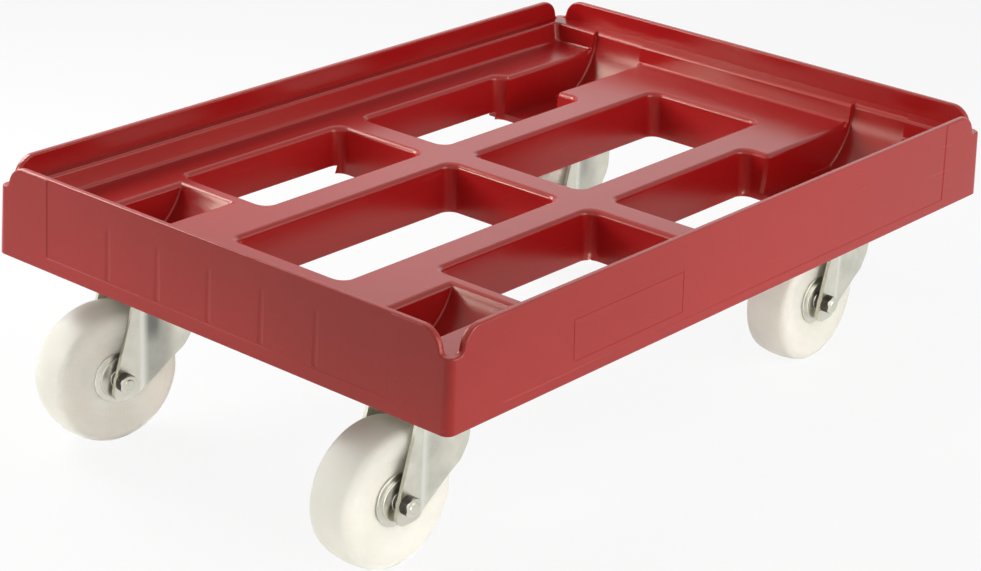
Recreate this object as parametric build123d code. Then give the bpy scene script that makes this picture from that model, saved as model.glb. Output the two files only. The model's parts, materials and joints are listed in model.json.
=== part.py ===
# Crate dolly: a moulded plastic frame that carries a 600 x 400 crate on four swivel castors.
# +X is the way it is pushed, +Z is up, and the floor under the middle of its box is the origin.
from build123d import *
import math
import os

# Moulded frame, in millimetres. The deck's level is counted up from the frame's lower edge.
frame_length = 620.0
frame_width = 420.0
deck_level = 35.5
ledge_step = 15.5
rim_height = 16.5
frame_draft = 2.2
corner_radius = 6.0
skin = 4.0
rim_wall = 5.0
end_ledge = 23.5
side_ledge = 14.5
recess_draft_end = 1.0
recess_draft_side = 3.0
recess_corner = 4.0

# Gap in the rim at each corner, and the round of the rim's end.
notch_gap = 9.0
notch_round = 12.0

# Castor places, counted in from the frame's ends and sides, and the trough over each castor.
castor_end_inset = 72.5
castor_side_inset = 81.0
trough_width = 50.0
trough_floor = 5.0
trough_rib = 12.0

# Through slots in the deck: three rows, two columns.
slot_corner = 9.0
slot_draft = 5.0
middle_rib = 25.0
spine_width = 28.0
middle_slot_half_width = 52.0
middle_slot_end_inset = 73.5
outer_slot_side_inset = 44.5
outer_wall_lift = 6.0
outer_lift_reach = 22.0

# Ribs under the deck.
rib_wall = 3.0
end_rib_pitch = 48.3
side_rib_pitch = 60.0

# Castor: drops are counted down from the plate's top face.
wheel_top_drop = 27.0
wheel_side_gap = 2.5
trail = 40.0
plate_length = 105.0
plate_width = 85.0
plate_thick = 4.0
plate_corner = 9.0
plate_hole_x = 80.0
plate_hole_y = 60.0
plate_hole_r = 4.25
fork_thick = 3.2
crown_radius = 33.0
crown_hole_gap = 2.0
leg_thick = 3.0
leg_tip_r = 14.5
leg_knee_r = 23.5
leg_knee_x = -6.0
leg_knee_drop = 42.0
leg_top_back = 32.0
leg_top_front = 20.0

# Swivel head: two ball rows, a king pin, a lower race and a dust ring.
upper_ball_r = 3.0
upper_ball_circle = 26.0
upper_ball_count = 22
lower_ball_r = 2.5
lower_ball_circle = 15.0
lower_ball_count = 15
groove_depth = 0.8
race_clearance = 0.1
lower_race_r = 20.0
lower_race_thick = 3.0
king_pin_r = 6.0
king_head_lip = 3.0
king_head_thick = 2.2
pin_clearance = 0.05
dust_ring_outer = 36.0
dust_ring_wall = 1.5
dust_ring_gap = 0.5

# Wheel and axle.
wheel_radius = 50.0
wheel_width = 36.0
tread_drop = 2.3
tread_edge = 1.8
face_lip_r = 40.5
face_dish_r = 28.0
face_dish = 4.0
hub_bore_r = 10.0
axle_r = 4.0
axle_hole_clearance = 0.1
sleeve_r = 6.0
cover_r = 18.5
cover_thick = 1.5
cover_neck_r = 10.0
cover_gap = 0.4
roller_count = 8
roller_clearance = 0.05
cage_gap = 0.5
cage_pocket_clearance = 0.15
cage_end_wall = 2.0
bearing_end_gap = 0.5
hex_across_flats = 13.0
bolt_head_thick = 5.3
nut_hex_thick = 6.0
nut_collar_thick = 2.0
nut_collar_r = 5.6
bolt_end = 1.0

# Screws that hold each castor plate to the frame from below.
screw_r = 3.4
screw_clearance = 0.05
screw_length = 26.0
screw_hex_across_flats = 10.0
screw_hex_thick = 4.0
screw_flange_r = 7.0
screw_flange_thick = 1.4
boss_r = 7.5

# Which way each castor stands, as a turn from trailing straight back.
castors = {
    "front_left": (1, 1, 0.0),
    "front_right": (1, -1, 0.0),
    "rear_left": (-1, 1, -10.7),
    "rear_right": (-1, -1, -3.0),
}

# Values worked out from the sizes above.
ledge_level = deck_level + ledge_step
frame_height = ledge_level + rim_height
rim_round = min(notch_round, rim_height)
castor_x = frame_length / 2 - castor_end_inset
castor_y = frame_width / 2 - castor_side_inset
trough_radius = castor_end_inset - end_ledge
outer_slot_end = castor_x - trough_radius - trough_rib
outer_slot_inner = middle_slot_half_width + spine_width
outer_slot_outer = frame_width / 2 - outer_slot_side_inset
middle_slot_end = frame_length / 2 - middle_slot_end_inset
axle_drop = wheel_radius + wheel_top_drop
castor_height = axle_drop + wheel_radius
king_head_r = king_pin_r + king_head_lip
crown_hole_r = king_pin_r + crown_hole_gap
crown_top = plate_thick + 2 * upper_ball_r - 2 * groove_depth + 2 * race_clearance
crown_bottom = crown_top + fork_thick
upper_ball_drop = (plate_thick + crown_top) / 2
lower_race_top = crown_bottom + 2 * lower_ball_r - 2 * groove_depth + 2 * race_clearance
lower_race_bottom = lower_race_top + lower_race_thick
lower_ball_drop = (crown_bottom + lower_race_top) / 2
half_wheel = wheel_width / 2
half_gap = half_wheel + wheel_side_gap
hub_half = half_wheel - face_dish
roller_r = (hub_bore_r - sleeve_r) / 2 - roller_clearance
roller_circle = (hub_bore_r + sleeve_r) / 2
trough_inner = castor_y - trough_width / 2
trough_outer = castor_y + trough_width / 2
deck_under = deck_level - skin
ledge_under = ledge_level - skin
inner_half_length = frame_length / 2 - skin - frame_draft * ledge_level / frame_height
inner_half_width = frame_width / 2 - skin - frame_draft * ledge_level / frame_height
recess_half_length = frame_length / 2 - end_ledge
recess_half_width = frame_width / 2 - side_ledge
rim_half_length = frame_length / 2 - frame_draft - rim_wall
rim_half_width = frame_width / 2 - frame_draft - rim_wall
rear_turn = min(abs(turn) for sx, sy, turn in castors.values() if sx < 0)
rear_reach = castor_x + (trail + wheel_radius) * math.cos(math.radians(rear_turn))
origin_shift = (rear_reach - frame_length / 2) / 2
beyond = 1.0


def block(x0, x1, y0, y1, z0, z1):
    """A box between two corners."""
    size = (x1 - x0, y1 - y0, z1 - z0)
    return Pos((x0 + x1) / 2, (y0 + y1) / 2, (z0 + z1) / 2) * Box(*size)


def drafted(low, high, z0, z1):
    """A tapered prism between two rounded rectangles, each given as length, width and corner."""
    bottom = Pos(0, 0, z0) * RectangleRounded(*low)
    top = Pos(0, 0, z1) * RectangleRounded(*high)
    return loft([bottom, top], ruled=True)


def plan(x0, x1, y0, y1):
    """A flat rectangle between two corners, seen from above."""
    return Pos((x0 + x1) / 2, (y0 + y1) / 2) * Rectangle(x1 - x0, y1 - y0)


def slot_plans():
    """Each slot's box at the deck, as x0, x1, y0, y1."""
    plans = []
    for sx in (-1, 1):
        for sy in (-1, 0, 1):
            end = outer_slot_end if sy else middle_slot_end
            xs = sorted((sx * middle_rib / 2, sx * end))
            ys = (-middle_slot_half_width, middle_slot_half_width)
            if sy:
                ys = sorted((sy * outer_slot_inner, sy * outer_slot_outer))
            plans.append((*xs, *ys))
    return plans


def slot_cutter(x0, x1, y0, y1):
    """One slot: rounded corners, narrower at its lower mouth."""
    rise = deck_level + beyond
    grow = slot_draft * beyond / deck_level
    low = (x1 - x0 - 2 * slot_draft, y1 - y0 - 2 * slot_draft, slot_corner - slot_draft)
    top = (x1 - x0 + 2 * grow, y1 - y0 + 2 * grow, slot_corner + grow)
    low_mouth = (low[0] - 2 * grow, low[1] - 2 * grow, low[2] - grow)
    return Pos((x0 + x1) / 2, (y0 + y1) / 2, 0) * drafted(low_mouth, top, -beyond, rise)


def trough_cylinder(sx, sy, radius, width):
    """A round bar across the frame at a castor, level with the ledge."""
    bar = Rot(90, 0, 0) * Cylinder(radius, width)
    return Pos(sx * castor_x, sy * castor_y, ledge_level) * bar


def trough_cutter(sx, sy):
    """The round trough with its flat floor; the front ones run on into the slot behind them."""
    y0 = sy * castor_y - trough_width / 2
    y1 = sy * castor_y + trough_width / 2
    x0 = sx * castor_x - trough_radius - beyond
    x1 = sx * castor_x + trough_radius + beyond
    above_floor = block(x0, x1, y0 - beyond, y1 + beyond, trough_floor, ledge_level)
    cutter = trough_cylinder(sx, sy, trough_radius, trough_width) & above_floor
    if sx > 0:
        cutter += block(outer_slot_end - slot_draft - beyond, castor_x, y0, y1, trough_floor, ledge_level)
    return cutter


def trough_relief(sx, sy):
    """The hollow under a trough's round ends, so that its wall stays even."""
    y0 = sy * castor_y - trough_width / 2
    y1 = sy * castor_y + trough_width / 2
    x0 = sx * castor_x - (trough_radius if sx < 0 else 0)
    x1 = sx * castor_x + trough_radius
    relief = block(x0, x1, y0, y1, -beyond, ledge_level)
    return relief - trough_cylinder(sx, sy, trough_radius + skin, trough_width + 2 * beyond)


def screw_places():
    """The four screws of each castor plate."""
    places = []
    for sx, sy, turn in castors.values():
        for dx in (-plate_hole_x / 2, plate_hole_x / 2):
            for dy in (-plate_hole_y / 2, plate_hole_y / 2):
                places.append((sx * castor_x + dx, sy * castor_y + dy))
    return places


def underside_plan():
    """The hollow under the deck, left open between walls, ribs and screw bosses."""
    hollow = Rectangle(2 * inner_half_length, 2 * inner_half_width)
    for x0, x1, y0, y1 in slot_plans():
        hollow -= plan(x0 - skin, x1 + skin, y0 - skin, y1 + skin)
    for sx, sy, turn in castors.values():
        reach = trough_radius + skin
        inner = castor_x - reach if sx < 0 else outer_slot_end
        xs = sorted((sx * inner, sx * (castor_x + reach)))
        ys = sorted((sy * (trough_inner - skin), sy * (trough_outer + skin)))
        hollow -= plan(*xs, *ys)
        wall = sorted((sy * trough_outer, sy * inner_half_width))
        hollow -= plan(sx * castor_x - rib_wall / 2, sx * castor_x + rib_wall / 2, *wall)
    for x, y in screw_places():
        hollow -= Pos(x, y) * Circle(boss_r)
    end_ribs = int(trough_inner / end_rib_pitch)
    for count in range(-end_ribs, end_ribs + 1):
        y = count * end_rib_pitch
        for sx in (-1, 1):
            start = middle_slot_end if abs(y) < middle_slot_half_width else outer_slot_end
            xs = sorted((sx * start, sx * inner_half_length))
            hollow -= plan(*xs, y - rib_wall / 2, y + rib_wall / 2)
    side_ribs = int((castor_x - side_rib_pitch / 2) / side_rib_pitch)
    for count in range(-side_ribs, side_ribs + 1):
        x = count * side_rib_pitch
        for sy in (-1, 1):
            ys = sorted((sy * outer_slot_outer, sy * inner_half_width))
            hollow -= plan(x - rib_wall / 2, x + rib_wall / 2, *ys)
    return hollow


def corner_notch(length):
    """The gap at one end of a rim wall, drawn along the wall and up from the ledge."""
    end = length / 2 - notch_gap
    top = frame_height + beyond
    gap = plan(end, length / 2 + beyond, ledge_level, top)
    round_off = plan(end - rim_round, end, frame_height - rim_round, top)
    round_off -= Pos(end - rim_round, frame_height - rim_round) * Circle(rim_round)
    return extrude(Plane.XZ * (gap + round_off), -(frame_draft + rim_wall + beyond))


def make_frame():
    """The one-piece moulding."""
    outer = (frame_length, frame_width, corner_radius)
    rim_top = (frame_length - 2 * frame_draft, frame_width - 2 * frame_draft, corner_radius)
    body = drafted(outer, rim_top, 0, frame_height)
    rim_space = extrude(Rectangle(2 * rim_half_length, 2 * rim_half_width), frame_height)
    body -= Pos(0, 0, ledge_level) * rim_space
    low_length = 2 * (recess_half_length - recess_draft_end)
    low_width = 2 * (recess_half_width - recess_draft_side)
    recess_top = (2 * recess_half_length, 2 * recess_half_width, recess_corner)
    body -= drafted((low_length, low_width, recess_corner), recess_top, deck_level, ledge_level)
    body -= Pos(0, 0, -beyond) * extrude(underside_plan(), deck_under + beyond)
    ring = Rectangle(2 * inner_half_length, 2 * inner_half_width)
    ring -= Rectangle(2 * (recess_half_length + skin), 2 * (recess_half_width + skin))
    body -= Pos(0, 0, deck_under - beyond) * extrude(ring, ledge_under - deck_under + beyond)
    for corners in slot_plans():
        body -= slot_cutter(*corners)
    for sy in (-1, 1):
        ys = sorted((sy * (outer_slot_outer - slot_draft - beyond), sy * (outer_slot_outer + outer_lift_reach)))
        reach = outer_slot_end - slot_draft
        body -= block(-reach, reach, *ys, -beyond, outer_wall_lift)
    for sx, sy, turn in castors.values():
        body -= trough_cutter(sx, sy)
        body -= trough_relief(sx, sy)
    for x, y in screw_places():
        body -= Pos(x, y, screw_length / 2 - beyond) * Cylinder(screw_r + screw_clearance, screw_length)
    long_wall = Pos(0, rim_half_width, 0) * corner_notch(frame_length)
    short_wall = Rot(0, 0, 90) * Pos(0, rim_half_length, 0) * corner_notch(frame_width)
    for notch in (long_wall, short_wall):
        for turned in (notch, Rot(0, 0, 180) * notch):
            body -= turned
            body -= mirror(turned, Plane.YZ if notch is long_wall else Plane.XZ)
    return body


def make_screw():
    """A flanged hexagon screw, pointing up, with its flange under the plate."""
    seat = -plate_thick
    shank_top = screw_length - 2 * beyond
    shank = Pos(0, 0, (seat + shank_top) / 2) * Cylinder(screw_r, shank_top - seat)
    flange = Pos(0, 0, seat - screw_flange_thick / 2) * Cylinder(screw_flange_r, screw_flange_thick)
    hexagon = RegularPolygon(screw_hex_across_flats / 2, 6, major_radius=False)
    head = Pos(0, 0, seat - screw_flange_thick - screw_hex_thick) * extrude(hexagon, screw_hex_thick)
    return shank + flange + head


def ball_row(count, circle, radius, drop):
    """Loose balls standing in a ring."""
    balls = []
    for k in range(count):
        a = 2 * math.pi * k / count
        balls.append(Pos(circle * math.cos(a), circle * math.sin(a), -drop) * Sphere(radius))
    return Compound(balls)


def groove(circle, radius, drop):
    """The ring-shaped track of a ball row."""
    return Pos(0, 0, -drop) * Torus(circle, radius + race_clearance)


def disc(radius, top, bottom):
    """A flat disc about the swivel axis, between two drops."""
    return Pos(0, 0, -(top + bottom) / 2) * Cylinder(radius, bottom - top)


def make_top_plate():
    """The fixed plate, with its ball track, screw holes and a seat for the king pin's head."""
    outline = RectangleRounded(plate_length, plate_width, plate_corner)
    plate = Pos(0, 0, -plate_thick) * extrude(outline, plate_thick)
    for x in (-plate_hole_x / 2, plate_hole_x / 2):
        for y in (-plate_hole_y / 2, plate_hole_y / 2):
            plate -= Pos(x, y, -plate_thick / 2) * Cylinder(plate_hole_r, plate_thick + 2 * beyond)
    plate -= disc(king_pin_r + pin_clearance, -beyond, plate_thick + beyond)
    plate -= disc(king_head_r + pin_clearance, -beyond, king_head_thick)
    return plate - groove(upper_ball_circle, upper_ball_r, upper_ball_drop)


def make_king_pin():
    """The riveted pin that holds the swivel head together."""
    pin = disc(king_pin_r, pin_clearance, lower_race_bottom + king_head_thick)
    pin += disc(king_head_r, pin_clearance, king_head_thick)
    pin += disc(king_head_r, lower_race_bottom, lower_race_bottom + king_head_thick)
    return pin


def make_lower_race():
    """The fixed race under the fork's crown."""
    race = disc(lower_race_r, lower_race_top, lower_race_bottom)
    race -= disc(king_pin_r + pin_clearance, lower_race_top - beyond, lower_race_bottom + beyond)
    return race - groove(lower_ball_circle, lower_ball_r, lower_ball_drop)


def make_dust_ring():
    """The skirt round the upper ball row."""
    ring = disc(dust_ring_outer, plate_thick, crown_top - dust_ring_gap)
    return ring - disc(dust_ring_outer - dust_ring_wall, plate_thick - beyond, crown_top)


def leg_outline():
    """A fork leg from the side: crown edge, knee and round axle end in one taut outline."""
    tip = Pos(-trail, -axle_drop) * Circle(leg_tip_r)
    knee = Pos(leg_knee_x, -leg_knee_drop) * Circle(leg_knee_r)
    top = Line((-leg_top_back, -crown_top), (leg_top_front, -crown_top))
    return make_hull(ShapeList(tip.edges() + knee.edges() + top.edges()))


def make_fork():
    """The pressed fork: a crown with two ball tracks and two legs."""
    outside = half_gap + leg_thick
    crown = Circle(crown_radius) + plan(-leg_top_back, leg_top_front, -outside, outside)
    fork = Pos(0, 0, -crown_bottom) * extrude(crown, fork_thick)
    leg = extrude(Plane.XZ * leg_outline(), leg_thick / 2, both=True)
    for side in (-1, 1):
        fork += Pos(0, side * (half_gap + leg_thick / 2), 0) * leg
    fork -= disc(crown_hole_r, crown_top - beyond, crown_bottom + beyond)
    fork -= groove(upper_ball_circle, upper_ball_r, upper_ball_drop)
    fork -= groove(lower_ball_circle, lower_ball_r, lower_ball_drop)
    return fork - axle_bar(axle_r + axle_hole_clearance, -outside - beyond, outside + beyond)


def axle_bar(radius, y0, y1):
    """A round bar on the axle's line."""
    return Pos(-trail, (y0 + y1) / 2, -axle_drop) * Rot(90, 0, 0) * Cylinder(radius, y1 - y0)


def axle_hexagon(y0, y1):
    """A hexagon bar on the axle's line."""
    hexagon = RegularPolygon(hex_across_flats / 2, 6, major_radius=False)
    bar = extrude(Plane.XZ * hexagon, (y1 - y0) / 2, both=True)
    return Pos(-trail, (y0 + y1) / 2, -axle_drop) * bar


def make_axle_bolt():
    """The axle bolt: head on the left, thread end through the nut on the right."""
    outside = half_gap + leg_thick
    end = outside + nut_hex_thick + nut_collar_thick + bolt_end
    return axle_bar(axle_r, -end, outside) + axle_hexagon(outside, outside + bolt_head_thick)


def make_axle_nut():
    """The lock nut with its round collar."""
    outside = half_gap + leg_thick
    hex_end = outside + nut_hex_thick
    nut = axle_hexagon(-hex_end, -outside) + axle_bar(nut_collar_r, -hex_end - nut_collar_thick, -hex_end)
    return nut - axle_bar(axle_r + pin_clearance, -hex_end - nut_collar_thick - beyond, -outside + beyond)


def make_axle_sleeve():
    """The tube between the fork legs, on which the bearing turns."""
    bore = axle_bar(axle_r + axle_hole_clearance, -half_gap - beyond, half_gap + beyond)
    return axle_bar(sleeve_r, -half_gap, half_gap) - bore


def make_bearing_covers():
    """Two pressed covers that close the hub and space it from the legs."""
    covers = []
    start = hub_half + cover_gap
    for side in (-1, 1):
        flange = sorted((side * start, side * (start + cover_thick)))
        neck = sorted((side * start, side * half_gap))
        cover = axle_bar(cover_r, *flange) + axle_bar(cover_neck_r, *neck)
        covers.append(cover - axle_bar(sleeve_r + pin_clearance, -half_gap - beyond, half_gap + beyond))
    return Compound(covers)


def make_wheel():
    """The solid nylon wheel: crowned tread, rounded edges and dished faces."""
    edge = half_wheel - tread_edge
    shoulder = wheel_radius - tread_drop
    side = shoulder - 2 * tread_edge
    outline = [
        ThreePointArc((shoulder, -edge), (wheel_radius, 0), (shoulder, edge)),
        TangentArc((side, half_wheel), (shoulder, edge), tangent=(1, 0)),
        Line((side, half_wheel), (face_lip_r, half_wheel)),
        Line((face_lip_r, half_wheel), (face_dish_r, hub_half)),
        Line((face_dish_r, hub_half), (hub_bore_r, hub_half)),
        Line((hub_bore_r, hub_half), (hub_bore_r, -hub_half)),
        Line((hub_bore_r, -hub_half), (face_dish_r, -hub_half)),
        Line((face_dish_r, -hub_half), (face_lip_r, -half_wheel)),
        Line((face_lip_r, -half_wheel), (side, -half_wheel)),
        TangentArc((side, -half_wheel), (shoulder, -edge), tangent=(1, 0)),
    ]
    wheel = revolve(make_face(outline), Axis.Y)
    return Pos(-trail, 0, -axle_drop) * wheel


def make_roller_bearing():
    """Rollers and their cage, between the sleeve and the hub's bore."""
    half = hub_half - bearing_end_gap
    cage = axle_bar(hub_bore_r - cage_gap, -half, half)
    cage -= axle_bar(sleeve_r + cage_gap, -half - beyond, half + beyond)
    roller_half = half - cage_end_wall
    pocket_half = roller_half + cage_pocket_clearance
    pieces = []
    for k in range(roller_count):
        a = 2 * math.pi * k / roller_count
        place = Pos(roller_circle * math.cos(a), 0, roller_circle * math.sin(a))
        cage -= place * axle_bar(roller_r + cage_pocket_clearance, -pocket_half, pocket_half)
        pieces.append(place * axle_bar(roller_r, -roller_half, roller_half))
    return Compound([cage, *pieces])


def save(node, shape, place):
    """Write one node in the finished frame of reference."""
    export_step(place * shape, os.path.join("parts", node + ".step"))


def main():
    os.makedirs("parts", exist_ok=True)
    base = Pos(origin_shift, 0, castor_height)
    save("frame", make_frame(), base)
    screw = make_screw()
    save("mount_screws", Compound([Pos(x, y, 0) * screw for x, y in screw_places()]), base)
    fixed = {
        "top_plate": make_top_plate(),
        "king_pin": make_king_pin(),
        "upper_balls": ball_row(upper_ball_count, upper_ball_circle, upper_ball_r, upper_ball_drop),
        "lower_balls": ball_row(lower_ball_count, lower_ball_circle, lower_ball_r, lower_ball_drop),
        "lower_race": make_lower_race(),
        "dust_ring": make_dust_ring(),
    }
    turning = {
        "fork": make_fork(),
        "axle_bolt": make_axle_bolt(),
        "axle_nut": make_axle_nut(),
        "axle_sleeve": make_axle_sleeve(),
        "bearing_covers": make_bearing_covers(),
        "wheel": make_wheel(),
        "roller_bearing": make_roller_bearing(),
    }
    for name, (sx, sy, turn) in castors.items():
        place = base * Pos(sx * castor_x, sy * castor_y, 0)
        for piece, shape in fixed.items():
            save(name + "_" + piece, shape, place)
        for piece, shape in turning.items():
            save(name + "_" + piece, shape, place * Rot(0, 0, turn))


main()
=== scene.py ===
# %% [markdown]
# A crate dolly: a red moulded frame that a stacking crate drops into, on four swivel castors with
# cream solid wheels. The construction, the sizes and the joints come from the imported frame. This
# lesson adds what the eye sees: the moulding with its rounded lips, the pressed zinc forks, the
# turned wheels, their finishes, and the studio.

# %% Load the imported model
import json
import math

import bmesh
import bpy
from mathutils import Matrix, Vector


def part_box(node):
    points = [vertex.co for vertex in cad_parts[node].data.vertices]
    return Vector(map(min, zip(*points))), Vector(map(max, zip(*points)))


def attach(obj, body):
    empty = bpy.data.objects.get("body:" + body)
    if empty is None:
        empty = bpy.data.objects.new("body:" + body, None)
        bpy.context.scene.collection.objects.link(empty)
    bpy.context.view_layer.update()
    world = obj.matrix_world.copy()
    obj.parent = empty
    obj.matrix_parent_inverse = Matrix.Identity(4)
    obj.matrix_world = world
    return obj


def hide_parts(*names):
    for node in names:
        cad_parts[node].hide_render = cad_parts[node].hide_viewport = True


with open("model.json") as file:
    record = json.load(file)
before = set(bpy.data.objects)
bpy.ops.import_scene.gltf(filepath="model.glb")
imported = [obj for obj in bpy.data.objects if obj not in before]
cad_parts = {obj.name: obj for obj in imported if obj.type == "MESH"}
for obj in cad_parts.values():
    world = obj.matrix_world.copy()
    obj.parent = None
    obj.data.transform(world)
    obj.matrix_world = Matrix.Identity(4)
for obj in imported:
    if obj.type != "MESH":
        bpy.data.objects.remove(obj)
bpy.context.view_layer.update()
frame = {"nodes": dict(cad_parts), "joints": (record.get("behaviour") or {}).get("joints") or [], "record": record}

mm = 0.001

# %% [markdown]
# The camera comes first, because every shape is judged through it. Its lens, its place and its
# small roll are set so that the frame's corners fall where the photograph has them. It could be
# aimed with a tracking constraint, but three plain directions show better what each number does.

# %% Camera
image_width = 981
focal_pixels = 2555.4
sensor_width = 36.0
view_azimuth = math.radians(-50.444)
view_height = math.radians(22.474)
view_roll = math.radians(2.558)
view_distance = 1884.98 * mm
view_slide = (-16.2 * mm, -47.67 * mm)

frame_low, frame_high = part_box("frame")
home = Vector(((frame_low.x + frame_high.x) / 2, 0, frame_low.z))
level = math.cos(view_height)
back = Vector((math.sin(view_azimuth) * level, -math.cos(view_azimuth) * level, math.sin(view_height)))
flat_right = Vector((math.cos(view_azimuth), math.sin(view_azimuth), 0))
flat_up = back.cross(flat_right)
right = flat_right * math.cos(view_roll) + flat_up * math.sin(view_roll)
up = flat_up * math.cos(view_roll) - flat_right * math.sin(view_roll)

lens = bpy.data.cameras.new("studio_camera")
lens.sensor_width = sensor_width
lens.lens = focal_pixels * sensor_width / image_width
camera = bpy.data.objects.new("studio_camera", lens)
bpy.context.scene.collection.objects.link(camera)
eye = home + right * view_slide[0] + up * view_slide[1] + back * view_distance
camera.matrix_world = Matrix.Translation(eye) @ Matrix((right, up, back)).transposed().to_4x4()
bpy.context.scene.camera = camera
bpy.context.scene.view_settings.view_transform = "Standard"
print("camera at", [round(v, 3) for v in eye], "lens", round(lens.lens, 1))

# %% [markdown]
# A few helpers do by name what a hand does with the mouse. The first ones leave one object selected
# and add a block or a drum of a given size. An object's place, turn and size go into its mesh at
# once, so that every number in a mesh is a real place on the dolly.

# %% Helpers: add a primitive
def only(piece):
    """Leave one object selected and active."""
    bpy.ops.object.select_all(action="DESELECT")
    piece.select_set(True)
    bpy.context.view_layer.objects.active = piece


def apply_place(piece, name):
    """Name a new object and put its place, turn and size into its mesh."""
    piece.name = name
    only(piece)
    bpy.ops.object.transform_apply(location=True, rotation=True, scale=True)
    return piece


def add(name, primitive, stretch=(1, 1, 1), **settings):
    """Add a primitive with nothing else selected, stretched along its axes."""
    bpy.ops.object.select_all(action="DESELECT")
    primitive(**settings)
    bpy.context.object.scale = stretch
    return apply_place(bpy.context.object, name)


def block(name, low, high):
    """A box between two corners."""
    low, high = Vector(low), Vector(high)
    return add(name, bpy.ops.mesh.primitive_cube_add, high - low, size=1, location=(low + high) / 2)


def drum(name, middle, radius, length, axis="Z", sides=48):
    """A cylinder about a point, lying along one axis."""
    turn = {"X": (0, math.pi / 2, 0), "Y": (math.pi / 2, 0, 0), "Z": (0, 0, 0)}[axis]
    return add(name, bpy.ops.mesh.primitive_cylinder_add, vertices=sides, radius=radius, depth=length,
               location=middle, rotation=turn)


# %% [markdown]
# In edit mode an operator works on what is selected. A hand would click on edges and faces. Here they
# are picked by a test of their place or angle, so that the choice holds when a size changes.

# %% Helpers: pick and shape
def pick(piece, kind="VERT", test=lambda item: True):
    """Enter edit mode with only the wanted VERT, EDGE or FACE items selected; give their count."""
    only(piece)
    bpy.ops.object.mode_set(mode="EDIT")
    bpy.ops.mesh.select_mode(type=kind)
    bpy.ops.mesh.select_all(action="DESELECT")
    mesh = bmesh.from_edit_mesh(piece.data)
    items = {"VERT": mesh.verts, "EDGE": mesh.edges, "FACE": mesh.faces}[kind]
    wanted = [item for item in items if test(item)]
    for item in wanted:
        item.select = True
    mesh.select_flush_mode()
    bmesh.update_edit_mesh(piece.data)
    return len(wanted)


def leave():
    """Back to object mode."""
    bpy.ops.object.mode_set(mode="OBJECT")


def pull(move):
    """Extrude what is selected by a move."""
    bpy.ops.mesh.extrude_region_move(TRANSFORM_OT_translate={"value": move})


def score(piece, place, across):
    """Draw a line of edges round a piece where a plane crosses it."""
    pick(piece)
    bpy.ops.mesh.bisect(plane_co=place, plane_no=across)
    leave()


def middle_of(item):
    """The middle of an edge or a face."""
    points = [corner.co for corner in item.verts]
    return sum(points, Vector()) / len(points)


def along(edge, axis):
    """True where an edge runs along one axis (0, 1 or 2)."""
    run = edge.verts[1].co - edge.verts[0].co
    return abs(run[axis]) > 0.9 * run.length


def crease(edge):
    """The angle between an edge's two faces, positive where the edge stands out."""
    if len(edge.link_faces) != 2:
        return 0.0
    angle = edge.calc_face_angle(0.0)
    return angle if edge.is_convex else -angle


def round_edges(piece, test, radius, steps):
    """Bevel the edges that pass a test."""
    count = pick(piece, "EDGE", test)
    if count:
        bpy.ops.mesh.bevel(offset=radius, segments=steps, profile=0.5, affect="EDGES", clamp_overlap=False)
    leave()
    return count


# %% [markdown]
# The last helpers cut one solid out of another, close what a cut leaves open and set the shading.
# The exact solver is slower than the fast one, but it keeps thin ribs and faces that nearly touch.

# %% Helpers: cut and finish
def cut(piece, *tools, operation="DIFFERENCE"):
    """Cut the tools out of a piece, or join or keep them, one after the other."""
    for tool in tools:
        only(piece)
        step = piece.modifiers.new("cut", "BOOLEAN")
        step.operation = operation
        step.solver = "EXACT"
        step.object = tool
        bpy.ops.object.modifier_apply(modifier=step.name)
        bpy.data.objects.remove(tool)
    return piece


def tidy_mesh(piece, gap=0.01 * mm):
    """Merge doubles and point every face outwards."""
    pick(piece)
    bpy.ops.mesh.remove_doubles(threshold=gap)
    bpy.ops.mesh.dissolve_degenerate(threshold=gap)
    bpy.ops.mesh.select_all(action="SELECT")
    bpy.ops.mesh.normals_make_consistent(inside=False)
    leave()


def smooth(piece, degrees=32):
    """Smooth shading across gentle edges, with the big faces leading the normals."""
    only(piece)
    bpy.ops.object.shade_smooth_by_angle(angle=math.radians(degrees))
    step = piece.modifiers.new("flat faces lead", "WEIGHTED_NORMAL")
    step.keep_sharp = True
    step.weight = 95
    bpy.ops.object.modifier_apply(modifier=step.name)


def join(piece, *others):
    """Put the meshes of other objects into a piece, without uniting them."""
    only(piece)
    for other in others:
        other.select_set(True)
    bpy.ops.object.join()


def report(what, piece):
    """Print how many faces a piece has."""
    print(what + ":", len(piece.data.polygons), "faces")


# %% [markdown]
# The frame is one injection moulding, so it is modelled as one solid. It starts as a block up to
# the ledge, drawn in a little towards the top as a mould needs. Its top face is divided into strips,
# and the outer strips are pulled up into the four rim walls, which leaves the notches at the corners.
# Four separate walls could be united with the block, but pulled up they share its faces.

# %% Frame: the block and its rim
half_length = (frame_high.x - frame_low.x) / 2
half_width = (frame_high.y - frame_low.y) / 2
frame_height = frame_high.z - frame_low.z
deck = frame["record"]["mounts"][0]["pos_m"][2] - home.z
ledge = 51 * mm
draft = 2.2 * mm
corner_round = 6 * mm
foot_edge = 1.0 * mm
rim_wall = 5.2 * mm
rim_stop_x, rim_stop_y = 13.5 * mm, 10.5 * mm
rim_end_slope = 4.0 * mm
hair = 0.05 * mm    # a gap too small to see, which keeps two faces from falling together
sharp = 0.7         # the least angle, in radians, of an edge that is rounded


def drawn_in(height):
    """How far the outer faces have come in at a height."""
    return draft * height / frame_height


moulding = block("moulding", (-half_length, -half_width, 0), (half_length, half_width, ledge))
pick(moulding, "FACE", lambda f: f.normal.z > 0.9)
shrink = drawn_in(ledge)
bpy.ops.transform.resize(value=(1 - shrink / half_length, 1 - shrink / half_width, 1))
leave()
round_edges(moulding, lambda e: along(e, 2), corner_round, 6)
round_edges(moulding, lambda e: middle_of(e).z < hair and abs(crease(e)) > sharp, foot_edge, 2)

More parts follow.
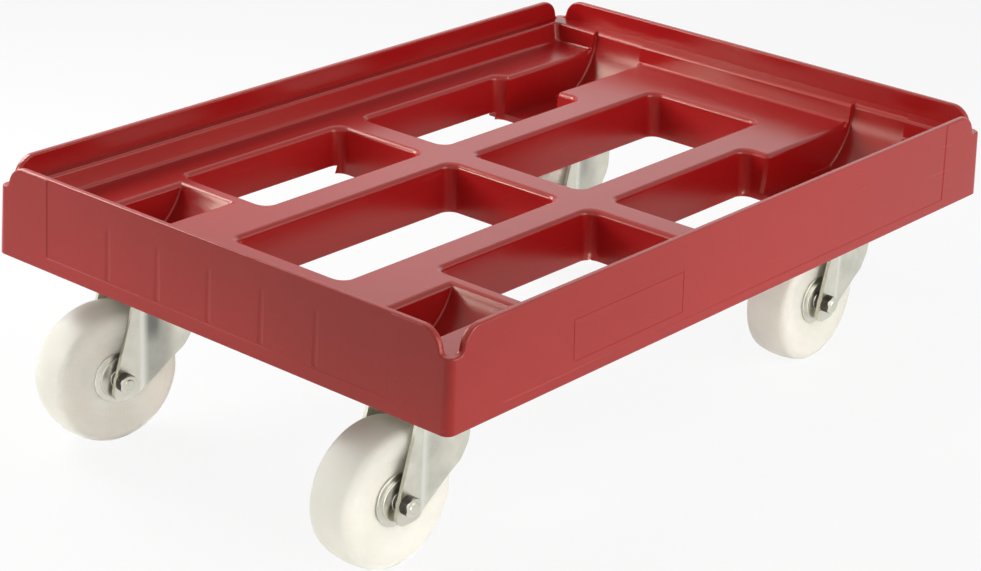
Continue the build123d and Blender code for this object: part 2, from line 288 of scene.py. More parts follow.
rim_x = half_length - shrink - rim_wall
rim_y = half_width - shrink - rim_wall
stop_x, stop_y = half_length - rim_stop_x, half_width - rim_stop_y
for sign in (-1, 1):
    for at_x, at_y in ((rim_x, rim_y), (stop_x, stop_y)):
        score(moulding, (sign * at_x, 0, 0), (1, 0, 0))
        score(moulding, (0, sign * at_y, 0), (0, 1, 0))


def end_strip(face, height):
    """True for the top of a rim wall across an end of the frame, at a height."""
    at = middle_of(face)
    return abs(at.z - height) < hair and abs(at.x) > rim_x and abs(at.y) < stop_y


def side_strip(face, height):
    """True for the top of a rim wall along a side of the frame, at a height."""
    at = middle_of(face)
    return abs(at.z - height) < hair and abs(at.y) > rim_y and abs(at.x) < stop_x


pick(moulding, "FACE", lambda f: end_strip(f, ledge) or side_strip(f, ledge))
pull((0, 0, frame_height - ledge))
leave()
lean_x = 1 - (draft - shrink) / half_length
lean_y = 1 - (draft - shrink) / half_width
for strip, size in ((end_strip, (lean_x, 1 - rim_end_slope / stop_y, 1)),
                    (side_strip, (1 - rim_end_slope / stop_x, lean_y, 1))):
    pick(moulding, "FACE", lambda f: strip(f, frame_height))
    bpy.ops.transform.resize(value=size, center_override=(0, 0, frame_height))
    leave()
report("frame block and rim", moulding)

# %% [markdown]
# Each rim wall ends in a wide shoulder above and a small hollow at its foot, so that a crate slides
# in and no corner is sharp. The edges are bevelled here, while they are few and easy to pick.

# %% Frame: round the rim
rim_shoulder = 12.0 * mm
rim_foot = 3.0 * mm
rim_edge = 1.5 * mm


def rim_end(edge):
    """The short top edge at each end of a rim wall."""
    at = middle_of(edge)
    across = along(edge, 0) if abs(at.x) > abs(at.y) * half_length / half_width else along(edge, 1)
    return at.z > frame_height - hair and across and edge.calc_length() < 2 * rim_wall


def rim_foot_edge(edge):
    """The short inner corner where each end of a rim wall stands on the ledge."""
    at = middle_of(edge)
    end_wall = along(edge, 0) and abs(at.x) > rim_x and abs(abs(at.y) - stop_y) < hair
    side_wall = along(edge, 1) and abs(at.y) > rim_y and abs(abs(at.x) - stop_x) < hair
    return abs(at.z - ledge) < hair and (end_wall or side_wall)


def rim_outer_edge(edge):
    """A sharp edge that stands out on a rim wall."""
    return crease(edge) > sharp and min(v.co.z for v in edge.verts) > ledge - hair


print("rim ends rounded:", round_edges(moulding, rim_end, rim_shoulder, 7))
print("rim feet rounded:", round_edges(moulding, rim_foot_edge, rim_foot, 4))
print("rim edges rounded:", round_edges(moulding, rim_outer_edge, rim_edge, 3))

# %% [markdown]
# What a mould leaves hollow is cut with solid tools. A tool here is a stack of rounded rectangles:
# a flat plate with rounded corners is pulled up ring by ring, and each ring is scaled to its size.
# Where the last rings spread along a quarter circle, the cut gets a rounded lip. The lip could be
# bevelled afterwards, but the tool keeps it clean where several openings meet.

# %% Helper: a stacked tool
lip_steps = 5
clear = 30 * mm


def raise_to(middle, sizes, height, next_sizes, next_height):
    """Pull the selected ring up to the next height and scale it to its next size."""
    pull((0, 0, next_height - height))
    scale = [after / before for before, after in zip(sizes, next_sizes)]
    bpy.ops.transform.resize(value=(*scale, 1), center_override=(*middle, next_height))


def stack(name, middle, rings, corner, turns=6):
    """A closed tool from rings of (half length, half width, height) about a point on the plan."""
    half_x, half_y, height = rings[0]
    tool = add(name, bpy.ops.mesh.primitive_plane_add, (half_x, half_y, 1), size=2,
               location=(*middle, height))
    pick(tool)
    bpy.ops.mesh.bevel(offset=corner, segments=turns, profile=0.5, affect="VERTICES")
    bpy.ops.mesh.select_all(action="SELECT")
    for here, there in zip(rings, rings[1:]):
        raise_to(middle, here[:2], here[2], there[:2], there[2])
    bpy.ops.mesh.select_all(action="SELECT")
    bpy.ops.mesh.normals_make_consistent(inside=False)
    leave()
    return tool


def lip_rings(half_x, half_y, top, lip):
    """Rings that spread along a quarter circle up to a flat top, then rise clear of it."""
    rings = []
    for step in range(lip_steps + 1):
        angle = math.pi / 2 * step / lip_steps
        out = lip * (1 - math.cos(angle))
        rings.append((half_x + out, half_y + out, top - lip + lip * math.sin(angle) + hair))
    rings.append((rings[-1][0], rings[-1][1], top + clear))
    return rings


# %% [markdown]
# The crate's foot stands in a shallow recess. Its wall leans outwards, its foot has a small fillet,
# and its upper edge is rounded into the ledge that carries the crate's rim. The floor could be
# inset and pushed down, but the stacked tool brings the fillet and the lip with it.

# %% Frame: the recess
recess_x, recess_y = 285.5 * mm, 192.5 * mm
recess_lean_x, recess_lean_y = 1.0 * mm, 3.0 * mm
recess_corner = 4 * mm
recess_fillet = 3 * mm
ledge_lip = 2.6 * mm


def recess_half(height):
    """Half length and half width of the recess at a height."""
    share = (height - deck) / (ledge - deck)
    return recess_x + recess_lean_x * share, recess_y + recess_lean_y * share


rings = []
for step in range(lip_steps):
    angle = math.pi / 2 * step / lip_steps
    height = deck + recess_fillet * (1 - math.cos(angle))
    in_x, in_y = recess_half(height)
    inset = recess_fillet * (1 - math.sin(angle))
    rings.append((in_x - inset, in_y - inset, height))
rings += lip_rings(*recess_half(ledge - ledge_lip), ledge, ledge_lip)
cut(moulding, stack("recess", (0, 0), rings, recess_corner))
report("recess cut", moulding)

# %% [markdown]
# Six slots go right through the deck. Each tapers towards its lower mouth, so that the moulding
# comes off the tool, and each has a generous rounded lip that shows as a soft light line. They are
# set out from the middle rib, so a list of plans serves the slots here and the walls under them later.

# %% Frame: the slots
slot_lip = 4 * mm
slot_corner = 9 * mm
slot_taper = 5 * mm
middle_rib = 25 * mm
middle_slot_y = 52 * mm
middle_slot_end = 236.5 * mm
outer_slot_inner = 80 * mm
outer_slot_outer = 165.5 * mm
outer_slot_end = 176.5 * mm
slot_plans = []
for side_x in (-1, 1):
    for side_y in (-1, 0, 1):
        end = outer_slot_end if side_y else middle_slot_end
        low, high = (outer_slot_inner, outer_slot_outer) if side_y else (-middle_slot_y, middle_slot_y)
        across = side_y if side_y else 1
        slot_plans.append((side_x * (middle_rib / 2 + end) / 2, across * (low + high) / 2,
                           (end - middle_rib / 2) / 2, (high - low) / 2))
foot = slot_taper * (deck + mm) / deck
top = slot_taper * slot_lip / deck
for x, y, half_x, half_y in slot_plans:
    rings = [(half_x - foot, half_y - foot, -mm)]
    rings += lip_rings(half_x - top, half_y - top, deck, slot_lip)
    cut(moulding, stack("slot", (x, y), rings, slot_corner, turns=8))
report("slots cut", moulding)

# %% [markdown]
# Over each castor the deck dips into a round trough with a flat floor, which makes room for the
# castor's head. It is a cylinder lying across the frame. Its outer end runs up the recess wall to the
# ledge as a cove. The front troughs also open through a channel into the slot behind them.
# A plain drum could cut the hollow, but a disc that is shaped first and then pulled out has the lip.

# %% Frame: the troughs over the castors
places = {}
for joint in frame["joints"]:
    if joint["name"].endswith("_swivel_turn"):
        places[joint["child"][:-len("_swivel")]] = Vector(joint["pos_m"]) - home
trough_radius = 52.5 * mm
trough_half = 25 * mm
trough_floor = 5 * mm
trough_fillet = 1.6 * mm
trough_lip = 4.6 * mm
cove_lip = 4.2 * mm
channel_start = 150 * mm


def trough_reach(height):
    """Half length of a trough at a height."""
    return math.sqrt(trough_radius ** 2 - (ledge - height) ** 2)


def trough_bar(x, y):
    """The round trough: a disc cut flat at floor and cove, spread at its top, pulled out sideways."""
    bar = add("trough", bpy.ops.mesh.primitive_circle_add, vertices=96, radius=trough_radius,
              fill_type="NGON", location=(x, y - trough_half, ledge), rotation=(math.pi / 2, 0, 0))
    cove_top = ledge - cove_lip
    pick(bar)
    bpy.ops.mesh.bisect(plane_co=(x, y, trough_floor), plane_no=(0, 0, 1), clear_inner=True)
    bpy.ops.mesh.select_all(action="SELECT")
    bpy.ops.mesh.bisect(plane_co=(x, y, cove_top), plane_no=(0, 0, 1), clear_outer=True)
    leave()
    pick(bar, "EDGE", lambda e: middle_of(e).z > cove_top - hair)
    rings = lip_rings(trough_reach(cove_top), 1, ledge, cove_lip)
    for here, there in zip(rings, rings[1:]):
        raise_to((x, y), (here[0], 1), here[2], (there[0], 1), there[2])
    bpy.ops.mesh.select_mode(type="FACE")
    bpy.ops.mesh.select_all(action="SELECT")
    pull((0, 2 * trough_half, 0))
    bpy.ops.mesh.select_all(action="SELECT")
    bpy.ops.mesh.normals_make_consistent(inside=False)
    leave()
    round_edges(bar, lambda e: crease(e) > sharp and not along(e, 1) and middle_of(e).z < cove_top - hair,
                trough_fillet, 3)
    return bar


def trough_tools(x, y):
    """The round trough, its channel where it has one, and its lip on the deck."""
    side = 1 if x > 0 else -1
    tools = [trough_bar(x, y)]
    inner = abs(x) - trough_reach(deck - trough_lip)
    outer = recess_x - trough_lip - 2 * hair
    if side > 0:
        inner = channel_start
        half = trough_half + hair
        tools.append(block("channel", (channel_start, y - half, trough_floor + hair), (x, y + half, ledge)))
    lip = lip_rings((outer - inner) / 2 - hair, trough_half - 4 * hair, deck, trough_lip)
    tools.append(stack("trough lip", (side * (inner + outer) / 2, y), lip, trough_fillet, turns=3))
    return tools


for place in places.values():
    cut(moulding, *trough_tools(place.x, place.y))
report("troughs cut", moulding)

# %% [markdown]
# Where a channel meets its slot, the upright corner of the deck is round. A bevel can't follow a
# corner that has a lip already, so a post with the rounding cut into it is taken off the corner.

# %% Frame: the mouths of the channels
jog_round = 5.5 * mm
post_over = 2 * mm
column_corner, column_least = 0.97, 0.95    # shares of the column's radius


def jog_post(x, y, side, radius):
    """A square post less a round column with a lip, which rounds an upright corner of a channel's mouth."""
    centre = (x + radius, y + side * radius)
    rings = [(radius, radius, 0)]
    rings += [(radius - out, radius - out, height + hair / 2)
              for out, _, height in lip_rings(0, 0, deck, slot_lip) if out < column_least * radius]
    column = stack("column", centre, rings, column_corner * radius, turns=8)
    ys = sorted((y - side * post_over, centre[1]))
    post = block("post", (x - post_over, ys[0], trough_floor + 3 * hair), (centre[0], ys[1], deck + mm))
    cut(post, column)
    for vertex in post.data.vertices:
        vertex.co.x -= slot_taper / deck * max(0, deck - slot_lip - vertex.co.z)
    return post


mouth_x = outer_slot_end - top - 4 * hair
mouth_half = trough_half - 8 * hair
for place in places.values():
    if place.x > 0:
        inward = -math.copysign(1, place.y)
        cut(moulding, jog_post(mouth_x, place.y + inward * mouth_half, inward, jog_round))
tidy_mesh(moulding)
report("mouths rounded", moulding)

# %% [markdown]
# Underneath, a moulding like this is hollow: an even skin with ribs, and round bosses for the screws.
# The hollow is made as one block, and all that stays solid is taken out of that block before it cuts
# the frame. It could be cut cell by cell, but this way the ribs are what is named and placed.

# %% Frame: what stays solid underneath
skin = 4 * mm
rib_half = 1.5 * mm
end_rib_pitch = 48.3 * mm
side_rib_pitch = 60 * mm
boss_radius = 7.5 * mm
screw_x, screw_y = 40 * mm, 30 * mm
screw_spots = [Vector((dx, dy, 0)) for dx in (-screw_x, screw_x) for dy in (-screw_y, screw_y)]
below = -2 * mm


def standing(name, x0, x1, y0, y1):
    """A block that stays solid under the deck."""
    return block(name, (min(x0, x1), min(y0, y1), below), (max(x0, x1), max(y0, y1), deck))


solid = [standing("slot wall", x - half_x - skin, x + half_x + skin, y - half_y - skin, y + half_y + skin)
         for x, y, half_x, half_y in slot_plans]
for place in places.values():
    side_x, side_y = math.copysign(1, place.x), math.copysign(1, place.y)
    solid.append(standing("trough wall", side_x * outer_slot_end, place.x + side_x * (trough_radius + skin),
                          place.y - trough_half - skin, place.y + trough_half + skin))
    solid.append(standing("castor rib", place.x - rib_half, place.x + rib_half, place.y, side_y * half_width))
    for spot in screw_spots:
        middle = (place.x + spot.x, place.y + spot.y, deck / 2 + below)
        solid.append(drum("boss", middle, boss_radius, deck, "Z", 32))
for side in (-1, 1):
    for count in range(-2, 3):
        y = count * end_rib_pitch
        start = middle_slot_end if abs(y) < middle_slot_y else outer_slot_end
        solid.append(standing("end rib", side * start, side * half_length, y - rib_half, y + rib_half))
    for count in range(-3, 4):
        x = count * side_rib_pitch
        solid.append(standing("side rib", x - rib_half, x + rib_half,
                              side * outer_slot_outer, side * half_width))
print("walls, ribs and bosses:", len(solid))

# %% [markdown]
# Now the hollow is cut, with the space under the ledge and the holes for the screws. Beside the outer
# slots the ribs stop a little above the foot, as they do where a mould is relieved.

# %% Frame: the hollow underside
screw_hole, hole_middle, hole_length = 3.45 * mm, 12 * mm, 28 * mm
outer_wall_lift, outer_lift_reach = 6 * mm, 22 * mm
inner_x = half_length - skin - drawn_in(ledge)
inner_y = half_width - skin - drawn_in(ledge)
hollow = block("hollow", (-inner_x, -inner_y, -mm), (inner_x, inner_y, deck - skin))
cut(hollow, *solid)
under_ledge = block("under ledge", (-inner_x + hair, -inner_y + hair, deck - skin - mm),
                    (inner_x - hair, inner_y - hair, ledge - skin))
wall_x, wall_y = [reach + skin for reach in recess_half(ledge)]
cut(under_ledge, block("recess wall", (-wall_x, -wall_y, 0), (wall_x, wall_y, ledge)))
tools = [hollow, under_ledge]
for place in places.values():
    for spot in screw_spots:
        middle = (place.x + spot.x, place.y + spot.y, hole_middle)
        tools.append(drum("screw hole", middle, screw_hole, hole_length, "Z", 24))
for side in (-1, 1):
    ys = sorted((side * (outer_slot_outer - slot_taper - mm), side * (outer_slot_outer + outer_lift_reach)))
    reach = outer_slot_end - slot_taper
    tools.append(block("slot foot", (-reach, ys[0], -mm), (reach, ys[1], outer_wall_lift)))
cut(moulding, *tools)
report("underside cut", moulding)

# %% [markdown]
# The outer walls carry a very shallow recessed panel each, open at the top, and the long walls a
# thin grooved outline for a paper label. Behind the end walls the ribs have drawn the surface in a
# little while the plastic cooled. These sink marks are cut with wide, slightly tilted cylinders.
# A bump in the finish could draw them, but real steps catch the light from every side.

# %% Frame: the outer faces
panel_depth, panel_slope = 0.5 * mm, 1.4
end_panel_y, end_panel_foot = 158 * mm, 10.5 * mm
side_panel_x, side_panel_foot = 257 * mm, 8 * mm
panel_reach = 8 * mm
label_low, label_high = (-190 * mm, 13 * mm), (-73 * mm, 43 * mm)
label_groove, label_depth = 1.2 * mm, 0.2 * mm
sink_radius, sink_depth, sink_fade = 12 * mm, 0.40 * mm, 0.4
sink_foot, sink_top, sink_sides = 11.4 * mm, 49 * mm, 163
lean = draft / frame_height


def between(side, half, depth):
    """Two places, in order, from a depth behind an outer face to clear of it."""
    return sorted((side * (half - depth), side * (half + panel_reach)))


def on_face(tool, axis, side):
    """Lean a tool with the drafted face it cuts, and spread its mouth into a sloped step."""
    for vertex in tool.data.vertices:
        outside = side * vertex.co[axis] > (half_length, half_width)[axis]
        vertex.co[axis] -= side * lean * vertex.co.z
        if outside:
            across = 1 - axis
            vertex.co[across] *= 1 + panel_slope * panel_reach / max(abs(vertex.co[across]), mm)
            vertex.co.z += panel_slope * panel_reach * (1 if vertex.co.z > frame_height else -1)
    return tool


for side in (-1, 1):
    xs = between(side, half_length, panel_depth)
    panel = block("end panel", (xs[0], -end_panel_y, end_panel_foot), (xs[1], end_panel_y, 2 * frame_height))
    cut(moulding, on_face(panel, 0, side))
    ys = between(side, half_width, panel_depth)
    panel = block("side panel", (-side_panel_x, ys[0], side_panel_foot),
                  (side_panel_x, ys[1], 2 * frame_height))
    cut(moulding, on_face(panel, 1, side))
    ys = between(side, half_width, panel_depth + label_depth)
    outline = block("label outline", (label_low[0], ys[0], label_low[1]),
                    (label_high[0], ys[1], label_high[1]))
    field_low = [edge + label_groove for edge in label_low]
    field_high = [edge - label_groove for edge in label_high]
    cut(outline, block("label field", (field_low[0], -half_width * 2, field_low[1]),
                       (field_high[0], half_width * 2, field_high[1])))
    for vertex in outline.data.vertices:
        vertex.co.y -= side * lean * vertex.co.z
    cut(moulding, outline)
    for count in range(-2, 3):
        middle = (side * (half_length + sink_radius), count * end_rib_pitch, (sink_foot + sink_top) / 2)
        sink = drum("sink mark", middle, sink_radius, sink_top - sink_foot, "Z", sink_sides)
        for vertex in sink.data.vertices:
            fade = 1 - sink_fade * (vertex.co.z - sink_foot) / (sink_top - sink_foot)
            vertex.co.x -= side * (panel_depth + sink_depth * fade + lean * vertex.co.z)
        cut(moulding, sink)
report("outer faces cut", moulding)

# %% [markdown]
# The finished moulding is moved to its height. From here on each finished piece is handed over in the
# same way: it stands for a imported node, takes that node's finish and rides the body that carries it.

# %% Frame: finish and hand over
looks = {"frame_plastic": [], "zinc_steel": [], "wheel_nylon": [], "bearing_steel": []}


def hand_over(piece, node, finish, body):
    """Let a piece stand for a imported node, with its finish, on its body."""
    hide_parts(node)
    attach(piece, body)
    looks[finish].append(piece)


tidy_mesh(moulding)
smooth(moulding)
only(moulding)
bpy.ops.transform.translate(value=home)
apply_place(moulding, "moulded_frame")
hand_over(moulding, "frame", "frame_plastic", "chassis")
report("frame finished", moulding)

# %% [markdown]
# The four castors are alike, so each piece is modelled once, about the swivel axis with the plate's
# top face at zero, and copied later. Round pieces are turned: half an outline is drawn point by
# point and spun about its axis. It could be a cylinder with loop after loop scaled, but the outline
# is what a drawing of a turned piece shows.

# %% Helper: turned pieces
directions = {"Y": Vector((0, 1, 0)), "Z": Vector((0, 0, 1))}


def arc(middle_r, middle_a, radius, start, end, steps=6):
    """Outline points on a circle, from one angle in degrees to another."""
    angles = [math.radians(start + (end - start) * step / steps) for step in range(steps + 1)]
    return [(middle_r + radius * math.cos(angle), middle_a + radius * math.sin(angle)) for angle in angles]


def turned(name, middle, outline, axis, sides=96):
    """Spin an outline of (radius, place along the axis), in millimetres, about an axis."""
    middle, direction = Vector(middle), directions[axis]
    points = [middle + Vector((r, 0, 0)) * mm + direction * a * mm for r, a in outline]
    piece = add(name, bpy.ops.mesh.primitive_plane_add, size=mm, location=points[0])
    pick(piece)
    bpy.ops.mesh.merge(type="CENTER")
    for here, there in zip(points, points[1:]):
        pull(there - here)
    bpy.ops.mesh.select_all(action="SELECT")
    bpy.ops.mesh.spin(steps=sides, angle=2 * math.pi, center=middle, axis=direction, use_auto_merge=True)
    leave()
    tidy_mesh(piece)
    return piece


# %% [markdown]
# The wheel is one piece of cast nylon: a crowned tread, a soft shoulder, a raised lip, and a face
# that sinks in a smooth curve to the hub. A rounded drum would do from afar. Here the crown and the
# shoulder are two circles that meet without a corner, so the angle where they meet follows from the
# wheel's width.

# %% Castor: the wheel
trail, axle_drop = -40 * mm, -77 * mm
axle = (trail, 0, axle_drop)
wheel_radius, wheel_half = 49.98, 18.0
crown_radius, shoulder = 58.0, 6.2
lip_inner, dish_foot, dish_steps = 41.2, 27.0, 12
hub_half, hub_bore, bore_edge = 14.2, 10.0, 0.6
meet = math.degrees(math.asin((wheel_half - shoulder) / (crown_radius - shoulder)))
crown_middle = wheel_radius - crown_radius
shoulder_r = crown_middle + (crown_radius - shoulder) * math.cos(math.radians(meet))
half = arc(crown_middle, 0, crown_radius, 0, meet, 8)
half += arc(shoulder_r, wheel_half - shoulder, shoulder, meet, 90, 8)[1:]
for step in range(dish_steps + 1):
    share = step / dish_steps
    rise = 0.5 + 0.5 * math.cos(math.pi * share)
    half.append((lip_inner + (dish_foot - lip_inner) * share, hub_half + (wheel_half - hub_half) * rise))
half += [(hub_bore + bore_edge, hub_half), (hub_bore, hub_half - bore_edge)]
outline = half[::-1] + [(r, -a) for r, a in half[1:]]
wheel = turned("wheel", axle, outline + outline[:1], "Y", 160)
smooth(wheel, 40)
report("wheel", wheel)
print("shoulder meets the crown at", round(meet, 1), "degrees")

# %% [markdown]
# A pressed cover closes each side of the hub: a thin disc with a rolled edge, a stepped ring, and a short neck
# that spaces it from the fork's leg. The dark slit between ring and leg is a real gap, because a painted line
# would vanish from the side. The neck inside it gets a painted shade later. Both covers come from one outline.

# %% Castor: the bearing covers
cover_foot, leg_inside = 14.4, 20.5
cover_bore, neck, neck_fillet = 6.1, 6.5, 0.3
disc_edge, ring_edge, roll = 17.7, 13.8, 0.8
ring_top = cover_foot + 4 * roll
half = [(cover_bore, cover_foot), (disc_edge + 0.2, cover_foot)]
half += arc(disc_edge, cover_foot + roll, roll, -90, 90, 6)[1:]
half += [(ring_edge + roll + 0.5, cover_foot + 2 * roll), (ring_edge + roll, cover_foot + 2 * roll + 0.3)]
half += arc(ring_edge, ring_top - roll, roll, 0, 90, 5)
half += [(neck + neck_fillet, ring_top), (neck, ring_top + neck_fillet), (neck, leg_inside)]
half += [(cover_bore, leg_inside), (cover_bore, cover_foot)]
covers = turned("bearing_covers", axle, half, "Y")
join(covers, turned("other cover", axle, [(r, -a) for r, a in half], "Y"))
smooth(covers, 40)
report("bearing covers", covers)

# %% [markdown]
# The fork is pressed from one sheet: a round crown under the ball race and two legs that sweep back
# to the axle. A bent channel is kept only where a swept outline covers it. The outline is the hull
# of three circles and a bar, which is how such a leg is set out on paper.

# %% Castor: the fork's sheet
sheet = 3.0 * mm
leg_outside = leg_inside * mm + sheet
crown_top, crown_under = -8.6 * mm, -11.8 * mm
outer_bend, inner_bend = 5.0 * mm, 2.0 * mm
blank_back, blank_front, blank_foot = -60 * mm, 30 * mm, -95 * mm
leg_back, leg_front = -27 * mm, 20 * mm
leg_rounds = {"knee": (-5.5, -43.5, 24.5), "heel": (-34, -79.5, 12.5), "tip": (-41, -85.5, 6.8)}
wide = 80 * mm

fork = block("fork", (blank_back, -leg_outside, blank_foot), (blank_front, leg_outside, crown_top))
inside = block("inside", (-wide, -leg_inside * mm, -2 * wide), (wide, leg_inside * mm, crown_under))
round_edges(inside, lambda e: along(e, 0) and middle_of(e).z > crown_under - hair, inner_bend, 4)
round_edges(fork, lambda e: along(e, 0) and middle_of(e).z > crown_top - hair, outer_bend, 6)
cut(fork, inside)
leg = block("leg outline", (leg_back, -wide / 2, crown_under), (leg_front, wide / 2, crown_top + 2 * mm))
join(leg, *[drum(name, (x * mm, 0, z * mm), radius * mm, wide, "Y", 96)
            for name, (x, z, radius) in leg_rounds.items()])
pick(leg)
bpy.ops.mesh.convex_hull()
bpy.ops.mesh.select_all(action="SELECT")
bpy.ops.mesh.dissolve_limited(angle_limit=math.radians(0.5))
leave()
tidy_mesh(leg)
cut(fork, leg, operation="INTERSECT")
report("fork sheet", fork)

# %% [markdown]
# In front of a fold line the legs are pressed inwards, which stiffens them. Lines are scored over the
# legs first, close together at the fold, and then every point is pushed in by a formula. A bevelled
# step could stand for the fold, but the press leaves a soft valley that runs out below the crown.

# %% Castor: the fork's fold
fold, fold_width = -27 * mm, 6 * mm
press_depth, press_more, press_ease = 1.6 * mm, 3.0 * mm, 0.6
fold_columns = [fold + x * mm for x in (-0.8, 0, 1, 2, 3, 4.5, 6)]
for column in fold_columns + [x * mm for x in range(-18, 18, 3)]:
    score(fork, (column, 0, 0), (1, 0, 0))
for row in range(-62, -12, 3):
    score(fork, (0, 0, row * mm), (0, 0, 1))


def ease(value, start, end):
    """Nought before the start, one after the end, and a soft climb between."""
    share = max(0, min(1, (value - start) / (end - start)))
    return share * share * (3 - 2 * share)


def pressed_in(x, z):
    """How far the press has pushed a leg inwards at a point."""
    ahead = 1 - (1 - max(0, min(1, (x - fold) / fold_width))) ** 2
    below_crown = ease(z, -14 * mm, -26 * mm)
    over_wheel = ease(math.hypot(x - trail, z - axle_drop), 50 * mm, 60 * mm)
    front = ease(x, 0, 18 * mm)
    return (press_depth + press_more * over_wheel) * ahead * below_crown * (1 - press_ease * front)


for vertex in fork.data.vertices:
    if abs(vertex.co.y) > leg_inside * mm - hair:
        vertex.co.y -= math.copysign(pressed_in(vertex.co.x, vertex.co.z), vertex.co.y)
report("fork pressed", fork)

# %% [markdown]
# The crown and the holes come last, so that the press leaves them round. Two attributes note, point by point, a
# painted highlight along the fold and a painted shade in the valley behind it and up towards the crown. The zinc
# finish reads them. A mask could be painted, but a formula needs no image.

# %% Castor: the fork's crown, holes, painted highlight and painted shade
head_radius = 34 * mm
pin_hole, axle_hole = 8 * mm, 4.15 * mm
sheet_edge = 0.5 * mm
head = (0, 0, (crown_top + crown_under) / 2)
crown = drum("crown", head, head_radius, crown_top - crown_under - 2 * hair, "Z", 96)
cut(fork, crown, operation="UNION")
cut(fork, drum("pin hole", (0, 0, crown_top), pin_hole, wide, "Z", 48))
cut(fork, drum("axle hole", axle, axle_hole, wide, "Y", 32))
tidy_mesh(fork)
step = fork.modifiers.new("sheet edges", "BEVEL")
step.width, step.segments = sheet_edge, 2
step.limit_method, step.angle_limit = "ANGLE", math.radians(50)
only(fork)
bpy.ops.object.modifier_apply(modifier=step.name)
tidy_mesh(fork)
smooth(fork, 40)
# Painted shade: darker in the valley behind the fold, up towards the crown and over the front of the leg.
grime = fork.data.attributes.new("grime", "FLOAT", "POINT")
rubbed = fork.data.attributes.new("rubbed", "FLOAT", "POINT")
for vertex in fork.data.vertices:
    x, z = vertex.co.x, vertex.co.z
    deep = ease(x, -2 * mm, -13 * mm) * ease(z, -70 * mm, -40 * mm)
    broad = 0.5 * ease(x, 8 * mm, -6 * mm)
    grime.data[vertex.index].value = ease(x, -24 * mm, -17 * mm) * max(deep, broad)
    # Painted highlight: a lighter band along the fold line, below the crown.
    on_fold = ease(x, fold - 1 * mm, fold + 2.5 * mm) * ease(x, fold + 8 * mm, fold + 4 * mm)
    rubbed.data[vertex.index].value = on_fold * ease(z, -18 * mm, -30 * mm)
report("fork", fork)

# %% [markdown]
# Bolt heads and nuts start as hexagon bars. Turning takes the corners off both ends at a slant, so a
# turned blank and the hexagon are laid over each other and only what both fill is kept. The lock
# nut is tall, because it holds a locking ring, and stands well out beside the leg.

# %% Castor: axle bolt and lock nut
across_flats, nut_reach = 13.0, 0.54
nut_height, thread_past, head_height = 7.6, 0.6, 5.3
shank_radius, bore_radius = 4.0, 4.05
leg_out = leg_outside / mm


def hexagon(name, middle, width, start, end, axis, reach=0.6):
    """A hexagon bar with chamfered corners, given by its width across flats in millimetres."""
    centre = Vector(middle) + directions[axis] * (start + end) / 2 * mm
    bar = drum(name, centre, width / math.sqrt(3) * mm, (end - start) * mm, axis, 6)
    inner, outer, edge, over = width * 0.48, width * reach, width * 0.066, 0.1
    outline = [(0, start - over), (inner, start - over), (outer, start + edge),
               (outer, end - edge), (inner, end + over), (0, end + over)]
    return cut(bar, turned("blank", middle, outline, axis, 48), operation="INTERSECT")


nut_end = -leg_out - nut_height
bolt_end = nut_end - thread_past
nut = hexagon("axle_nut", axle, across_flats, nut_end, -leg_out, "Y", nut_reach)
cut(nut, drum("nut bore", axle, bore_radius * mm, wide, "Y", 32))
bolt = hexagon("axle_bolt", axle, across_flats, leg_out, leg_out + head_height, "Y")
shank = [(0, leg_out + 1), (shank_radius, leg_out + 1), (shank_radius, bolt_end + 0.6),
         (shank_radius - 0.6, bolt_end), (0, bolt_end)]
cut(bolt, turned("shank", axle, shank, "Y", 32), operation="UNION")
for piece in (nut, bolt):
    tidy_mesh(piece)
    smooth(piece)
    report(piece.name, piece)

# %% [markdown]
# Over the fork sit a thin skirt against dust and the plate, which four flanged screws hold under the
# frame. They hide in the photograph and show from below, so they get the same care as the rest.

# %% Castor: plate, dust ring and screws
plate_x, plate_y, plate_thick = 52.5 * mm, 42.5 * mm, 4 * mm
plate_corner, plate_edge = 9 * mm, 0.5 * mm
plate_hole, king_hole = 4.25 * mm, 6.05 * mm
skirt_in, skirt_out, skirt_top, skirt_foot, skirt_edge = 34.5, 36.0, -4.0, -8.1, 0.4
screw_flats, screw_head, flange_radius, thread_radius = 10.0, 5.4, 7.0, 3.4
thread_middle, thread_length = 10.5 * mm, 30 * mm


def plate_rim(edge):
    """A sharp level edge well out from the plate's middle."""
    at = middle_of(edge)
    return crease(edge) > sharp and abs(at.x) + abs(at.y) > screw_x and not along(edge, 2)


plate = stack("top_plate", (0, 0), [(plate_x, plate_y, -plate_thick), (plate_x, plate_y, 0)], plate_corner, 8)
for spot in screw_spots:
    cut(plate, drum("plate hole", spot, plate_hole, 4 * plate_thick, "Z", 32))
cut(plate, drum("pin hole", (0, 0, 0), king_hole, 4 * plate_thick, "Z", 48))
round_edges(plate, plate_rim, plate_edge, 2)
skirt = turned("dust_ring", (0, 0, 0), [
    (skirt_in, skirt_top), (skirt_out, skirt_top), (skirt_out, skirt_foot + skirt_edge),
    (skirt_out - skirt_edge, skirt_foot), (skirt_in + skirt_edge, skirt_foot),
    (skirt_in, skirt_foot + skirt_edge), (skirt_in, skirt_top)], "Z")
seat = -plate_thick / mm
screw = hexagon("screw", (0, 0, 0), screw_flats, seat - screw_head, seat - 0.5, "Z")
flange = [(0, seat), (flange_radius - 0.2, seat), (flange_radius, seat - 0.2), (flange_radius, seat - 0.6),
          (flange_radius - 0.6, seat - 1.1), (0, seat - 1.9)]
cut(screw, turned("flange", (0, 0, 0), flange, "Z", 48),
    drum("screw shank", (0, 0, thread_middle), thread_radius * mm, thread_length, "Z", 24), operation="UNION")
tidy_mesh(screw)
for piece in (plate, skirt, screw):
    smooth(piece)
    report(piece.name, piece)

# %% [markdown]
# Each finished piece is now copied to the four castors. A copy gets its own mesh, is turned the way
# its castor stands, and is moved to its swivel axis. Then it rides the body that carries it, so the
# swivel and the wheel move in every pose. Linked copies would be smaller, but a piece of the model has
# to hold its own place in its mesh.

